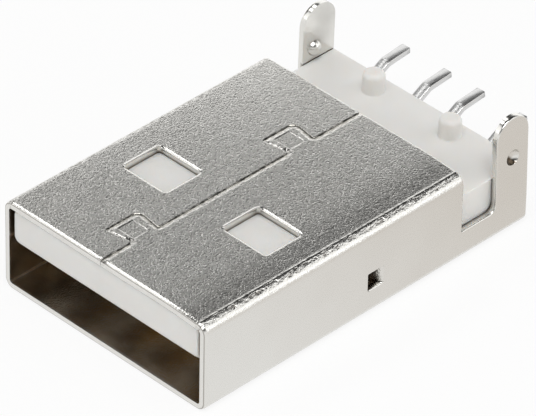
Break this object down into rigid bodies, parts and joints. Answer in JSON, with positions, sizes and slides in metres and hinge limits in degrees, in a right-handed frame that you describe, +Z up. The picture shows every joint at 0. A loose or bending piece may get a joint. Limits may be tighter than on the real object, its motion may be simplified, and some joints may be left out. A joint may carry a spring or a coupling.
{
  "type": "usb plug connector",
  "caption": "Right-angle type A plug for a circuit board: folded metal shell with latch windows, seam locks and solder ears, round a white block with pegs, blades and bent tails.",
  "frame": {"origin": "middle of the whole length and width, on the plane of the plain side that the plug rests on", "axes": "+Z up out of the board side, -Y out of the mating front, +X to the right seen from the mating front with the board side up"},
  "size_m": [0.012, 0.0214, 0.0059],
  "materials": {
    "shell_metal": "satin nickel plating on cold-rolled sheet",
    "insulator_plastic": "moulded white PBT, matte",
    "contact_metal": "copper alloy strip, tin plated, with a gold flash on the blades"
  },
  "bodies": {
    "root": {"shell": "shell_metal", "insulator": "insulator_plastic", "contact_outer_left": "contact_metal", "contact_inner_left": "contact_metal", "contact_inner_right": "contact_metal", "contact_outer_right": "contact_metal"}
  },
  "joints": []
}
